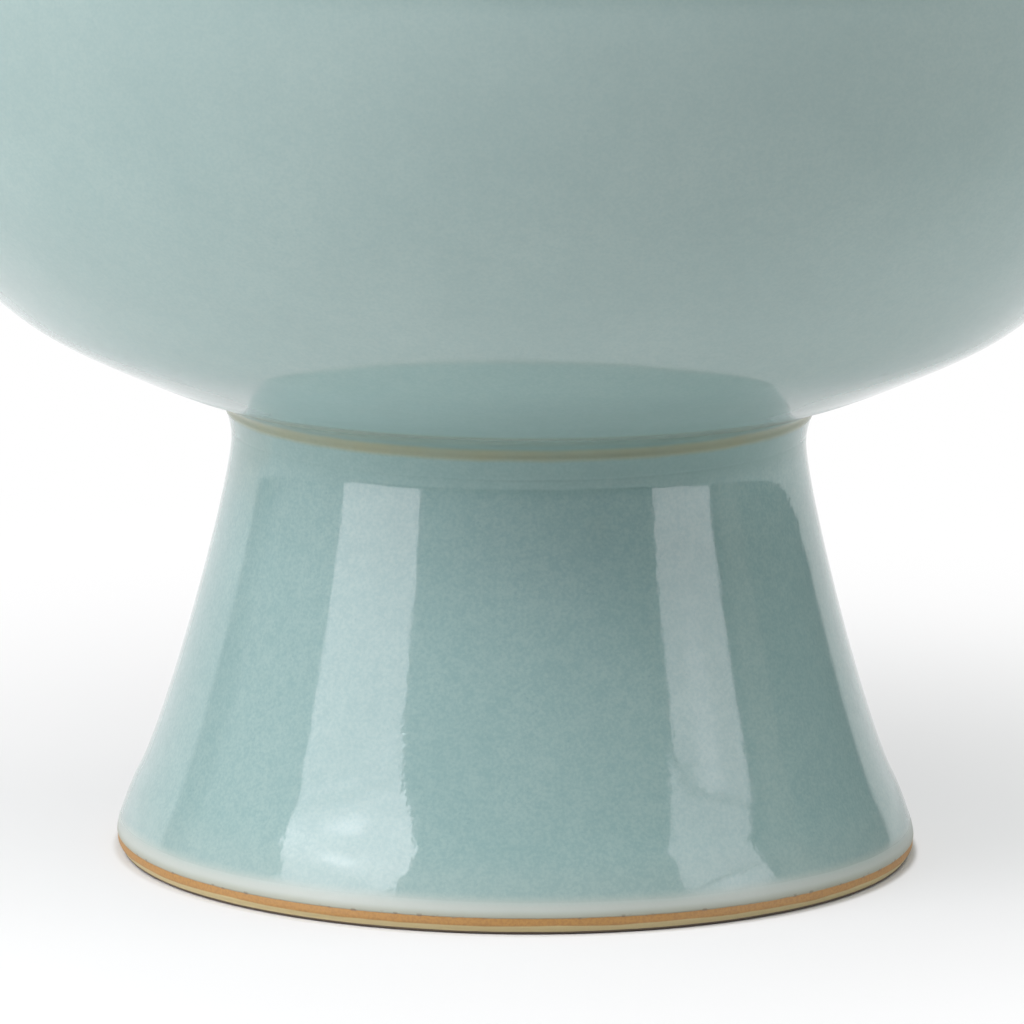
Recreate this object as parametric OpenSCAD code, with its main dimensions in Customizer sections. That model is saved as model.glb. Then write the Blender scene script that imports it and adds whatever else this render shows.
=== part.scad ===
// Celadon-glazed porcelain vase on a tall splayed foot.
// It is built as a potter builds it: foot, lower belly, upper belly and neck are thrown
// one by one, turned to stepped edges and luted together with slip, and the raised
// bowstrings are strips of clay pressed into scored grooves.
// Millimetres. The vase stands on z = 0 and its axis is Z.

/* [Whole vase] */
// Height from the standing ring to the top of the lip
vase_h = 330; // [310:2:350]

/* [Foot] */
// Height of the foot, from the standing ring to the crease under the belly
foot_h = 68.2; // [62:0.2:76]
// Diameter of the standing ring where it touches the ground
foot_d = 118; // [110:1:126]
// Diameter of the foot where it is narrowest
foot_waist_d = 85.5; // [80:0.5:90]
// Depth of that narrowest place below the crease
foot_waist_drop = 6.2; // [5.5:0.1:8]
// Thickness of the foot's wall
foot_wall = 5.5; // [4.5:0.25:6.5]
// Width of the bare standing ring
standing_w = 4.5; // [3.5:0.25:5.5]
// Radius of the standing ring's worn outer edge
standing_round = 0.4; // [0.2:0.1:0.8]
// How far the lip swells out over the standing ring
lip_bulge = 0.7; // [0.4:0.1:1.2]
// Height of the widest place on the lip
lip_bulge_h = 1.7; // [1.2:0.1:2.4]
// Radius of the rounded lip
lip_round = 9; // [6:0.5:12]
// Slope at which the rounded lip goes over into the wall, from vertical
lip_angle = 18; // [12:1:22]
// Height at which the wall flares most
flare_rise = 11.2; // [9:0.2:14]
// How far the wall has come in from the lip there
flare_in = 3.1; // [2.4:0.1:4.2]
// Slope of the wall there, from vertical
flare_angle = 27.5; // [24:0.5:32]
// Length of the straight pull above that place
flare_pull = 9.8; // [7:0.2:13]

/* [Joint under the belly] */
// How far the foot's top edge spreads out from its narrowest place
seat_flare = 0.8; // [0.4:0.1:1.4]
// Height of the clay coil pressed into the joint
coil_h = 2; // [1.4:0.1:2.6]
// How far the coil swells out of the joint as a bead
coil_bulge = 0.4; // [0.2:0.05:0.7]
// Depth of the turned boss that locates the belly in the foot
boss_h = 3; // [2:0.25:4]
// Width of the boss's rim around the recessed base
boss_rim_w = 5; // [4:0.5:7]
// Depth of the domed recess in the base
base_recess = 4; // [2.5:0.25:5]

/* [Belly] */
// Widest diameter of the belly
belly_d = 214; // [206:1:224]
// Height of the lower belly's full oval, down from the widest place
belly_drop = 80; // [74:1:86]
// Height of the upper belly's full oval, up from the widest place
belly_rise = 80; // [74:1:86]
// Fullness of the oval: 2 is an ellipse, more is squarer
belly_fullness = 2.3; // [2.1:0.05:2.6]
// Thickness of the belly's wall
belly_wall = 4.6; // [3.8:0.2:6]
// Thickness of the floor above the crease
floor_t = 5.5; // [4.5:0.25:7]

/* [Neck] */
// Diameter of the neck where it leaves the shoulder
neck_root_d = 60; // [54:1:66]
// Diameter of the neck where it is narrowest
neck_waist_d = 48; // [44:1:52]
// Height of that narrowest place above the shoulder
neck_waist_rise = 44; // [38:1:50]
// Thickness of the neck's wall
neck_wall = 4.2; // [3.4:0.2:5]
// Diameter over the lip
mouth_d = 98; // [88:1:108]
// Slope of the trumpet mouth, from horizontal
mouth_angle = 34; // [26:1:44]
// Radius of the rolled lip
lip_roll = 2.1; // [1.7:0.1:2.8]

/* [Luted joints] */
// Height of the step in each luted edge
lap_h = 3; // [2:0.25:4]
// Thickness of the slip between two sections
slip_t = 0.5; // [0.3:0.05:0.8]

/* [Bowstrings] */
// Width of a raised bowstring
string_w = 2.6; // [2:0.1:3.4]
// How far a bowstring stands out of the wall
string_h = 1.1; // [0.8:0.1:1.5]
// Depth of the scored groove it is pressed into
groove_t = 0.4; // [0.2:0.05:0.6]
// Diameter at which the shoulder's bowstring runs
shoulder_string_d = 128; // [100:1:150]
// Height of the neck's bowstring above the shoulder
neck_string_rise = 30; // [16:1:38]

/* [Hidden] */
$fn = 96;

// Colours of the glazed and the unglazed clay
celadon = [0.58, 0.70, 0.67];
celadon_deep = [0.46, 0.59, 0.56];
slip_clay = [0.82, 0.77, 0.66];

// Steps along a curve
short_steps = 8;
steps = 28;

// Foot
foot_r = foot_d / 2;
foot_waist_r = foot_waist_d / 2;
foot_waist_z = foot_h - foot_waist_drop;
foot_top_z = foot_h - coil_h;
seat_r = foot_waist_r + seat_flare;
socket_r = foot_waist_r - foot_wall;
boss_r = socket_r - slip_t;
boss_z = foot_top_z - boss_h;
inside_from = 3 * (short_steps + 1) + 1;

// Belly
belly_r = belly_d / 2;
belly_in_r = belly_r - belly_wall;
belly_lap_r = belly_r - belly_wall / 2;
belly_z = foot_h + oval_h(seat_r, belly_r, belly_drop);
belly_top_z = belly_z + slip_t;
floor_z = foot_h + floor_t;

// Neck
neck_root_r = neck_root_d / 2;
neck_bore_r = neck_root_r - neck_wall;
neck_lap_r = neck_root_r - neck_wall / 2;
neck_root_z = belly_top_z + oval_h(neck_root_r, belly_r, belly_rise);
neck_z = neck_root_z + slip_t;
neck_step_z = neck_z + lap_h;
neck_waist_r = neck_waist_d / 2;
neck_waist_z = neck_z + neck_waist_rise;
mouth_r = mouth_d / 2;
lip_centre = [mouth_r - lip_roll, vase_h - lip_roll];

// Heights and slopes at which the bowstrings run
shoulder_string_r = shoulder_string_d / 2;
shoulder_string_z = belly_top_z + oval_h(shoulder_string_r, belly_r, belly_rise);
shoulder_string_tilt = oval_tilt(shoulder_string_r, belly_r, belly_rise);
neck_string_z = neck_z + neck_string_rise;
neck_string_r = radius_at(neck_outer(), neck_string_z);
root_string_z = neck_z + string_w / 2 + slip_t;
root_string_r = radius_at(neck_outer(), root_string_z);

// ---- Curves ----

// Points along a cubic curve from a to d, pulled towards b and c
function curve(a, b, c, d, n) = [
    for (i = [0:n])
        let (t = i / n, u = 1 - t)
            u * u * u * a + 3 * u * u * t * b + 3 * u * t * t * c + t * t * t * d
];

// Points along a circular arc
function arc(centre, r, from, to, n) = [
    for (i = [0:n])
        let (angle = from + (to - from) * i / n)
            centre + r * [cos(angle), sin(angle)]
];

// Points along an arc from a to b that swells by bulge to the right of the way
function swell(a, b, bulge, n) =
    let (half = norm(b - a) / 2,
         r = (half * half + bulge * bulge) / (2 * bulge),
         along = (b - a) / (2 * half),
         out = [along[1], -along[0]],
         centre = (a + b) / 2 + out * (bulge - r),
         spread = asin(half / r))
    [for (i = [0:n])
        let (angle = spread * (2 * i / n - 1))
            centre + r * (cos(angle) * out + sin(angle) * along)];

// The belly's full oval: height above its widest place at radius r
function oval_h(r, wide, high) =
    high * pow(1 - pow(r / wide, belly_fullness), 1 / belly_fullness);

// The angle at which the oval reaches radius r
function oval_angle(r, wide) = acos(pow(r / wide, belly_fullness / 2));

// Points along a quarter of the oval, as distances from its centre
function oval(wide, high, from, to, n) = [
    for (i = [0:n])
        let (angle = from + (to - from) * i / n)
            [wide * pow(cos(angle), 2 / belly_fullness),
             high * pow(sin(angle), 2 / belly_fullness)]
];

// Direction of the oval's outward normal at radius r, above horizontal
function oval_tilt(r, wide, high) =
    atan2(pow(oval_h(r, wide, high) / high, belly_fullness - 1) / high,
          pow(r / wide, belly_fullness - 1) / wide);

// A rising outline moved inwards by one wall, from the point with the given index on
function inset(path, wall, first) =
    let (last = len(path) - 1)
    [for (i = [first:last])
        let (along = path[min(i + 1, last)] - path[max(i - 1, 0)])
            path[i] + wall * [-along[1], along[0]] / norm(along)];

// Radius of a rising outline at height z
function radius_at(path, z) = lookup(z, [for (p = path) [p[1], p[0]]]);

// ---- Outlines, as [radius, height] from bottom to top ----

// Direction that leans inwards from straight up by an angle
function upward(angle) = [-sin(angle), cos(angle)];

// Outside of the foot: worn standing edge, rounded lip, shoulder, long flare and narrow waist
function foot_outer() =
    let (lip_r = foot_r + lip_bulge,
         edge = [foot_r, standing_round],
         swelling = lip_bulge_h - standing_round,
         lip = arc([lip_r - lip_round, lip_bulge_h], lip_round, 0, lip_angle, short_steps),
         lip_end = lip[short_steps],
         flare = [lip_r - flare_in, flare_rise],
         turn = norm(flare - lip_end) * 0.3,
         waist = [foot_waist_r, foot_waist_z],
         settle = [0, (foot_waist_z - flare_rise) / 8])
    concat(arc(edge - [standing_round, 0], standing_round, -90, 0, short_steps),
           curve(edge, edge + [0, swelling * 0.35], [lip_r, lip_bulge_h - swelling * 0.5],
                 [lip_r, lip_bulge_h], short_steps),
           lip,
           curve(lip_end, lip_end + turn * upward(lip_angle),
                 flare - turn * upward(flare_angle), flare, short_steps),
           curve(flare, flare + flare_pull * upward(flare_angle), waist - settle, waist,
                 steps));

// Spread of the foot's top edge, from its waist out to the seat
function foot_spread() =
    let (rise = foot_top_z - foot_waist_z,
         r = (rise * rise + seat_flare * seat_flare) / (2 * seat_flare))
    arc([foot_waist_r + r, foot_waist_z], r, 180, 180 - asin(rise / r), short_steps);

// Inside of the foot, one wall in from the shoulder on, and straight at the socket
function foot_inner() = concat(
    [[foot_r - standing_w, 0]],
    inset(foot_outer(), foot_wall, inside_from),
    [[socket_r, foot_waist_z], [socket_r, foot_top_z]]
);

// Outside of the neck: straight root, waist and trumpet mouth
function neck_outer() =
    let (root = [neck_root_r, neck_z],
         waist = [neck_waist_r, neck_waist_z],
         mouth = lip_centre + lip_roll * [sin(mouth_angle), -cos(mouth_angle)],
         lower = neck_waist_rise / 3,
         upper = (mouth[1] - neck_waist_z) * 0.62,
         pull = (mouth_r - neck_waist_r) * 0.6)
    concat(curve(root, root + [0, lower], waist - [0, lower * 1.3], waist, steps),
           curve(waist, waist + [0, upper],
                 mouth - pull * [cos(mouth_angle), sin(mouth_angle)], mouth, steps));

// Inside of the neck above the step of its joint
function neck_inner() = concat(
    [[neck_bore_r, neck_step_z]],
    [for (p = inset(neck_outer(), neck_wall, 0)) if (p[1] > neck_step_z + 1) p]
);

function reversed(path) = [for (i = [len(path) - 1:-1:0]) path[i]];

// ---- Sections ----

// A bowstring's section, lying on a wall whose normal has the given tilt
module string_section(r, z, tilt) {
    translate([r, z])
        rotate(tilt) {
            translate([-groove_t, -string_w / 2])
                square([groove_t + string_h - string_w / 2, string_w]);
            intersection() {
                translate([string_h - string_w / 2, 0])
                    circle(d = string_w);
                translate([-groove_t, -string_w / 2])
                    square([groove_t + string_h, string_w]);
            }
        }
}

// The slip in a stepped joint, from the outer ledge over the inner tongue
module joint_slip(outer_r, lap_r, inner_r, z) {
    rotate_extrude()
        polygon([
            [outer_r, z],
            [outer_r, z + slip_t],
            [lap_r + slip_t, z + slip_t],
            [lap_r + slip_t, z + slip_t + lap_h],
            [inner_r, z + slip_t + lap_h],
            [inner_r, z + lap_h],
            [lap_r, z + lap_h],
            [lap_r, z],
        ]);
}

// ---- Pieces ----

// Hollow splayed foot, open at the bottom, with its bare standing ring
module foot() {
    color(celadon)
        rotate_extrude()
            polygon(concat(foot_outer(), foot_spread(), reversed(foot_inner())));
}

// Coil of clay between foot and belly: a bead outside, a sleeve round the boss inside
module foot_joint_coil() {
    color(celadon_deep)
        rotate_extrude()
            polygon(concat(
                swell([seat_r, foot_top_z], [seat_r, foot_h], coil_bulge, short_steps),
                [[boss_r, foot_h], [boss_r, boss_z], [socket_r, boss_z],
                 [socket_r, foot_top_z]]
            ));
}

// Lower half of the belly, with the boss that sits in the foot and a recessed base
module lower_belly() {
    outside = [for (p = oval(belly_r, belly_drop, oval_angle(seat_r, belly_r), 0, steps))
                  [p[0], belly_z - p[1]]];
    inside = [for (p = oval(belly_in_r, belly_z - floor_z, 0, 90, steps))
                 [p[0], belly_z - p[1]]];
    base_r = boss_r - boss_rim_w;
    dome_r = (base_r * base_r + base_recess * base_recess) / (2 * base_recess);
    base = arc([0, boss_z + base_recess - dome_r], dome_r, 90, acos(base_r / dome_r),
               short_steps);
    color(celadon)
        rotate_extrude()
            polygon(concat(
                outside,
                [[belly_lap_r, belly_z], [belly_lap_r, belly_z + lap_h],
                 [belly_in_r, belly_z + lap_h]],
                inside,
                base,
                [[boss_r, boss_z], [boss_r, foot_h]]
            ));
}

module belly_joint_slip() {
    color(slip_clay)
        joint_slip(belly_r, belly_lap_r, belly_in_r, belly_z);
}

// Upper half of the belly, closing over the shoulder to the neck's stepped seat
module upper_belly() {
    step_z = belly_top_z + lap_h;
    inside_h = belly_rise - belly_wall - lap_h;
    outside = [for (p = oval(belly_r, belly_rise, 0, oval_angle(neck_root_r, belly_r),
                             steps))
                  [p[0], belly_top_z + p[1]]];
    inside = [for (p = oval(belly_in_r, inside_h, oval_angle(neck_bore_r, belly_in_r), 0,
                            steps))
                 [p[0], step_z + p[1]]];
    color(celadon)
        rotate_extrude()
            difference() {
                polygon(concat(
                    outside,
                    [[neck_lap_r, neck_root_z], [neck_lap_r, neck_root_z + lap_h],
                     [neck_bore_r, neck_root_z + lap_h]],
                    inside,
                    [[belly_lap_r + slip_t, step_z], [belly_lap_r + slip_t, belly_top_z]]
                ));
                string_section(shoulder_string_r, shoulder_string_z, shoulder_string_tilt);
            }
}

module neck_joint_slip() {
    color(slip_clay)
        joint_slip(neck_root_r, neck_lap_r, neck_bore_r, neck_root_z);
}

// Waisted neck that opens into a trumpet mouth with a rolled lip
module neck() {
    color(celadon)
        rotate_extrude()
            difference() {
                union() {
                    polygon(concat(
                        neck_outer(),
                        reversed(neck_inner()),
                        [[neck_lap_r + slip_t, neck_step_z], [neck_lap_r + slip_t, neck_z]]
                    ));
                    translate(lip_centre)
                        circle(r = lip_roll);
                }
                string_section(root_string_r, root_string_z, 0);
                string_section(neck_string_r, neck_string_z, 0);
            }
}

module shoulder_bowstring() {
    color(celadon_deep)
        rotate_extrude()
            string_section(shoulder_string_r, shoulder_string_z, shoulder_string_tilt);
}

module neck_root_bowstring() {
    color(celadon_deep)
        rotate_extrude()
            string_section(root_string_r, root_string_z, 0);
}

module neck_bowstring() {
    color(celadon_deep)
        rotate_extrude()
            string_section(neck_string_r, neck_string_z, 0);
}

foot();
foot_joint_coil();
lower_belly();
belly_joint_slip();
upper_belly();
neck_joint_slip();
neck();
shoulder_bowstring();
neck_root_bowstring();
neck_bowstring();
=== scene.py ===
import math

import bpy
from mathutils import Matrix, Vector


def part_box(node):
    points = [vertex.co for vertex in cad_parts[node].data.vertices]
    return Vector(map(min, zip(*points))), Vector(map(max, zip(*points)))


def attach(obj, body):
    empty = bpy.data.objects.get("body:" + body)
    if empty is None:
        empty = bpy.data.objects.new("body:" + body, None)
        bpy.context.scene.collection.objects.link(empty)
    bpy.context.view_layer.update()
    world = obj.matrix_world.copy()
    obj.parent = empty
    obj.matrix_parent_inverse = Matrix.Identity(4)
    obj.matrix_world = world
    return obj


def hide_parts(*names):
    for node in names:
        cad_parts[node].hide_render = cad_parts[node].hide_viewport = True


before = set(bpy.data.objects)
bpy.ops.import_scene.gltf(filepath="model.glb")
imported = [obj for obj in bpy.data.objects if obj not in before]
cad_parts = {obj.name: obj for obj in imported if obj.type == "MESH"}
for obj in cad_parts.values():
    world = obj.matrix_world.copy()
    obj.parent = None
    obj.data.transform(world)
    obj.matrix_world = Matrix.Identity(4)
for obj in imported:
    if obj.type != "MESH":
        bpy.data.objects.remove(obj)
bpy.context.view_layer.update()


# ==== Foot ====
# Hollow splayed foot of white porcelain clay, thrown by itself and turned when leather-hard.
# Celadon glaze covers it inside and out down to the standing ring, which was wiped bare
# and fired to ochre.

MM = 0.001

foot_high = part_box("foot")[1]
lip_r = foot_high.x / MM
foot_top_z = foot_high.z / MM
lip_z = 1.7
lip_round = 9.0
lip_turn = 18.0
standing_r = 59.0
standing_width = 4.5
standing_round = 0.4
flare_turn = 27.5
flare_r = 56.6
flare_z = 11.2
flare_pull = 9.8
flare_settle = 6.4
shoulder_pull = 2.2
groove_z = 63.4
groove_width = 0.22
groove_depth = 0.035
foot_waist_r = 42.75
foot_waist_z = 62.0
seat_r = 43.55
foot_wall = 5.5
socket_r = 37.25
glaze_line_z = 2.45
glaze_thickness = 0.14
glaze_roll = 0.22


def upward(angle):
    """Direction that leans inwards by angle from straight up, as (radius, height)."""
    return -math.sin(math.radians(angle)), math.cos(math.radians(angle))


def pulled(point, direction, length):
    return point[0] + direction[0] * length, point[1] + direction[1] * length


def sweep(a, b, c, d, steps):
    """Points along a cubic curve from a to d, pulled towards b and c."""
    points = []
    for i in range(steps + 1):
        t = i / steps
        u = 1 - t
        shares = (u * u * u, 3 * u * u * t, 3 * u * t * t, t * t * t)
        r = sum(share * p[0] for share, p in zip(shares, (a, b, c, d)))
        z = sum(share * p[1] for share, p in zip(shares, (a, b, c, d)))
        points.append((r, z))
    return points


def rounding(centre, radius, start, end, steps):
    """Points along a circular arc between two angles above horizontal."""
    points = []
    for i in range(steps + 1):
        angle = math.radians(start + (end - start) * i / steps)
        points.append((centre[0] + radius * math.cos(angle), centre[1] + radius * math.sin(angle)))
    return points


def joined(*runs):
    """One outline from several runs of points, without the doubled point between two runs."""
    points = []
    for run in runs:
        for point in run:
            if not points or math.dist(points[-1], point) > 0.001:
                points.append(point)
    return points


def wall_inside(outside, wall):
    """The outline moved inwards by the thickness of the wall."""
    points = []
    last = len(outside) - 1
    for i, (r, z) in enumerate(outside):
        before = outside[max(i - 1, 0)]
        after = outside[min(i + 1, last)]
        run = (after[0] - before[0], after[1] - before[1])
        size = math.hypot(*run)
        points.append((r - wall * run[1] / size, z + wall * run[0] / size))
    return points


def eased(value, start, end):
    """0 before start and 1 after end, with a smooth rise between them."""
    t = min(1.0, max(0.0, (value - start) / (end - start)))
    return t * t * (3 - 2 * t)


def wiped_back(points):
    """The outline without its glaze below the glaze line, whose edge is a small roll."""
    dressed = []
    for r, z in points:
        bare = 1 - math.sqrt(eased(z, glaze_line_z, glaze_line_z + glaze_roll))
        groove = groove_depth * math.exp(-(((z - groove_z) / groove_width) ** 2))
        dressed.append((r - glaze_thickness * bare - groove, z))
    return dressed


flare = (flare_r, flare_z)
foot_waist = (foot_waist_r, foot_waist_z)
standing_edge = joined(
    rounding((standing_r - standing_round, standing_round), standing_round, -90, 0, 8),
    sweep(
        (standing_r, standing_round),
        (standing_r + 0.1, standing_round + 0.5),
        (lip_r, lip_z - 0.7),
        (lip_r, lip_z),
        10,
    ),
)
lip_curve = rounding((lip_r - lip_round, lip_z), lip_round, 0, lip_turn, 30)
lip_end = lip_curve[-1]
shoulder = sweep(
    lip_end,
    pulled(lip_end, upward(lip_turn), shoulder_pull),
    pulled(flare, upward(flare_turn), -shoulder_pull),
    flare,
    30,
)
long_flare = sweep(
    flare,
    pulled(flare, upward(flare_turn), flare_pull),
    (foot_waist_r, foot_waist_z - flare_settle),
    foot_waist,
    72,
)
spread_rise = foot_top_z - foot_waist_z
spread_out = seat_r - foot_waist_r
spread_r = (spread_rise ** 2 + spread_out ** 2) / (2 * spread_out)
spread_turn = math.degrees(math.asin(spread_rise / spread_r))
spread = rounding((foot_waist_r + spread_r, foot_waist_z), spread_r, 180, 180 - spread_turn, 42)
foot_outside = joined(standing_edge, lip_curve, shoulder, long_flare, spread)
foot_inside = wall_inside(joined(shoulder[10::4], long_flare[::2]), foot_wall)
foot_inner_edge = sweep(
    (standing_r - standing_width, 0),
    (standing_r - standing_width - 0.3, 0.5),
    pulled(foot_inside[0], upward(flare_turn), -3.0),
    foot_inside[0],
    10,
)
foot_outline = joined(
    wiped_back(foot_outside),
    [(socket_r, foot_top_z), (socket_r, foot_waist_z)],
    foot_inside[::-1],
    foot_inner_edge[::-1],
)


def put(tree, kind, settings=None, inputs=None):
    """Adds a node, sets it, and links or fills its inputs. Gives its first output."""
    made = tree.nodes.new(kind)
    for name, value in (settings or {}).items():
        setattr(made, name, value)
    for name, value in (inputs or {}).items():
        if isinstance(value, bpy.types.NodeSocket):
            tree.links.new(value, made.inputs[name])
        else:
            made.inputs[name].default_value = value
    return made.outputs[0]


def sums(tree, operation, *values):
    """A Math node on numbers or sockets."""
    return put(tree, "ShaderNodeMath", {"operation": operation}, dict(enumerate(values)))


def times(tree, first, second):
    """A product of two numbers or sockets."""
    return sums(tree, "MULTIPLY", first, second)


def parts(tree, vector):
    """The X, Y and Z of a vector, by name."""
    split = tree.nodes.new("ShaderNodeSeparateXYZ")
    tree.links.new(vector, split.inputs[0])
    return split.outputs


def length_of(tree, vector):
    measured = put(tree, "ShaderNodeVectorMath", {"operation": "LENGTH"}, {0: vector})
    return measured.node.outputs["Value"]


def emptied(owner):
    """The node tree of a material, lamp or world, with nothing in it yet."""
    owner.use_nodes = True
    owner.node_tree.nodes.clear()
    return owner.node_tree


def socket(tree, name, kind, way="INPUT", value=None):
    """A named input or output of a node group."""
    made = tree.interface.new_socket(name, in_out=way, socket_type="NodeSocket" + kind)
    if value is not None:
        made.default_value = value
    return made


def gives(tree, kind, **values):
    """Ends a node group: makes its named outputs and links a value to each."""
    for name in values:
        socket(tree, name, kind, "OUTPUT")
    out = tree.nodes.new("NodeGroupOutput")
    for name, value in values.items():
        tree.links.new(value, out.inputs[name])


def potters_wheel():
    """The wheel turns an outline about the Z axis and leaves the rings of the fingers in it."""
    tree = bpy.data.node_groups.new("potters_wheel", "GeometryNodeTree")
    socket(tree, "Outline", "Geometry")
    socket(tree, "Steps round", "Int", value=320)
    socket(tree, "Ring spacing", "Float", value=0.007)
    socket(tree, "Ring depth", "Float", value=0.0002)
    socket(tree, "Seed", "Float", value=1.0)
    socket(tree, "Finish", "Material")
    given = tree.nodes.new("NodeGroupInput").outputs
    outline = given["Outline"]
    points = put(
        tree, "GeometryNodeAttributeDomainSize", {"component": "MESH"}, {"Geometry": outline}
    )
    columns = sums(tree, "ADD", points, 1.0)
    rows = sums(tree, "ADD", given["Steps round"], 1.0)
    grid = put(
        tree,
        "GeometryNodeMeshGrid",
        inputs={"Size X": 1.0, "Size Y": 1.0, "Vertices X": columns, "Vertices Y": rows},
    )
    index = put(tree, "GeometryNodeInputIndex")
    column = sums(tree, "FLOOR", sums(tree, "DIVIDE", sums(tree, "ADD", index, 0.5), rows))
    row = sums(tree, "SUBTRACT", index, times(tree, column, rows))
    turned = sums(tree, "DIVIDE", row, given["Steps round"])
    on_outline = sums(tree, "MODULO", column, points)

    def from_outline(kind, value):
        return put(
            tree,
            "GeometryNodeSampleIndex",
            {"data_type": kind, "domain": "POINT"},
            {"Geometry": outline, "Value": value, "Index": on_outline},
        )

    def named(kind, name):
        return put(tree, "GeometryNodeInputNamedAttribute", {"data_type": kind}, {"Name": name})

    place = from_outline("FLOAT_VECTOR", put(tree, "GeometryNodeInputPosition"))
    outward = from_outline("FLOAT_VECTOR", named("FLOAT_VECTOR", "outward"))
    fingers = from_outline("FLOAT", named("FLOAT", "fingers"))
    crest = from_outline("FLOAT", named("FLOAT", "crest"))
    angle = times(tree, turned, math.tau)

    def around(vector):
        return put(
            tree,
            "ShaderNodeVectorRotate",
            {"rotation_type": "Z_AXIS"},
            {"Vector": vector, "Angle": angle},
        )

    uneven = put(
        tree,
        "ShaderNodeTexNoise",
        {"noise_dimensions": "4D"},
        {"Vector": around(place), "W": given["Seed"], "Scale": 28.0, "Detail": 1.5},
    )
    climb = sums(tree, "DIVIDE", parts(tree, place)["Z"], given["Ring spacing"])
    wave = sums(
        tree,
        "SINE",
        times(tree, sums(tree, "ADD", sums(tree, "ADD", climb, turned), times(tree, uneven, 1.6)),
            math.tau,
        ),
    )
    pressed = times(tree, times(tree, sums(tree, "ADD", wave, 1.0), -0.5),
        times(tree, fingers, given["Ring depth"]),
    )
    push = put(
        tree, "ShaderNodeVectorMath", {"operation": "SCALE"}, {"Vector": outward, "Scale": pressed}
    )
    pressed_place = put(tree, "ShaderNodeVectorMath", {"operation": "ADD"}, {0: place, 1: push})
    marked = put(
        tree,
        "GeometryNodeStoreNamedAttribute",
        {"data_type": "FLOAT", "domain": "POINT"},
        {"Geometry": grid, "Name": "crest", "Value": crest},
    )
    turned_out = put(
        tree,
        "GeometryNodeSetPosition",
        inputs={"Geometry": marked, "Position": around(pressed_place)},
    )
    closed = put(
        tree, "GeometryNodeMergeByDistance", inputs={"Geometry": turned_out, "Distance": 0.000002}
    )
    faced = put(tree, "GeometryNodeFlipFaces", inputs={"Mesh": closed})
    smooth = put(tree, "GeometryNodeSetShadeSmooth", inputs={"Geometry": faced, "Shade Smooth": True})
    corner = put(
        tree,
        "FunctionNodeCompare",
        {"data_type": "FLOAT", "operation": "GREATER_THAN"},
        {0: put(tree, "GeometryNodeInputMeshEdgeAngle"), 1: math.radians(38)},
    )
    creased = put(
        tree,
        "GeometryNodeStoreNamedAttribute",
        {"data_type": "BOOLEAN", "domain": "EDGE"},
        {"Geometry": smooth, "Name": "sharp_edge", "Value": corner},
    )
    real = put(tree, "GeometryNodeRealizeInstances", inputs={"Geometry": creased})
    finished = put(
        tree, "GeometryNodeSetMaterial", inputs={"Geometry": real, "Material": given["Finish"]}
    )
    gives(tree, "Geometry", Piece=finished)
    return tree


wheel = potters_wheel()


def throw(name, outline, finish, fingers, crest=None, spacing=7.0, depth=0.3, seed=1.0, steps=320):
    """Turns an outline, in millimetres, on the wheel and takes the finished piece off it.

    fingers(r, z, outward) says how deep the throwing rings are, crest(r, z) where glaze is thin."""
    count = len(outline)
    mesh = bpy.data.meshes.new(name)
    mesh.from_pydata(
        [(r * MM, 0, z * MM) for r, z in outline],
        [(i, (i + 1) % count) for i in range(count)],
        [],
    )
    facings = []
    depths = []
    crests = []
    for i, (r, z) in enumerate(outline):
        before = outline[i - 1]
        after = outline[(i + 1) % count]
        run = (after[0] - before[0], after[1] - before[1])
        size = math.hypot(*run)
        facing = (run[1] / size, -run[0] / size)
        facings += [facing[0], 0.0, facing[1]]
        depths.append(fingers(r, z, facing))
        crests.append(crest(r, z) if crest else 0.0)
    mesh.attributes.new("outward", "FLOAT_VECTOR", "POINT")
    mesh.attributes.new("fingers", "FLOAT", "POINT")
    mesh.attributes.new("crest", "FLOAT", "POINT")
    mesh.attributes["outward"].data.foreach_set("vector", facings)
    mesh.attributes["fingers"].data.foreach_set("value", depths)
    mesh.attributes["crest"].data.foreach_set("value", crests)
    piece = bpy.data.objects.new(name, mesh)
    bpy.context.scene.collection.objects.link(piece)
    turning = piece.modifiers.new("wheel", "NODES")
    turning.node_group = wheel
    sockets = {item.name: item.identifier for item in wheel.interface.items_tree}
    turning[sockets["Steps round"]] = steps
    turning[sockets["Ring spacing"]] = spacing * MM
    turning[sockets["Ring depth"]] = depth * MM
    turning[sockets["Seed"]] = seed
    turning[sockets["Finish"]] = finish
    ready = piece.evaluated_get(bpy.context.evaluated_depsgraph_get())
    thrown = bpy.data.meshes.new_from_object(ready)
    piece.modifiers.clear()
    piece.data = thrown
    thrown.name = name
    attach(piece, "root")
    return piece


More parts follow.
